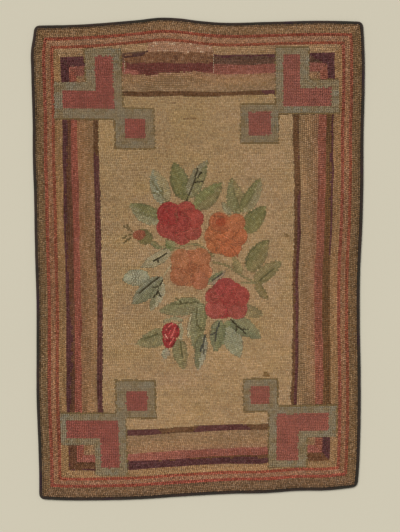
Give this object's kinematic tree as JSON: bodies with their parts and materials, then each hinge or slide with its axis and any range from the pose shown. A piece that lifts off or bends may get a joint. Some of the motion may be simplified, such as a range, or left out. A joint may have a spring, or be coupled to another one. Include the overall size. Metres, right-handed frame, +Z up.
{
  "type": "hooked rug",
  "caption": "Flat oblong hooked rug with looped pile, roses and leaves on a tan field, striped border with stepped corner keys and a dark bound edge",
  "frame": {"origin": "the middle of the rug's box, on the floor under it", "axes": "+Z up through the pile, +Y along the rug's length towards the end with the repaired band, +X to the right of someone looking down with that end away from them"},
  "size_m": [0.7206, 1.0418, 0.0089],
  "materials": {
    "pile": "short hooked wool loops in tan, rose red, orange, greens and browns, dry and slightly fuzzy, on a burlap foundation",
    "tape": "dark brown-black cotton tape folded round the edge, matt, softly worn"
  },
  "bodies": {
    "root": {"rug": "pile", "binding": "tape"}
  },
  "joints": []
}
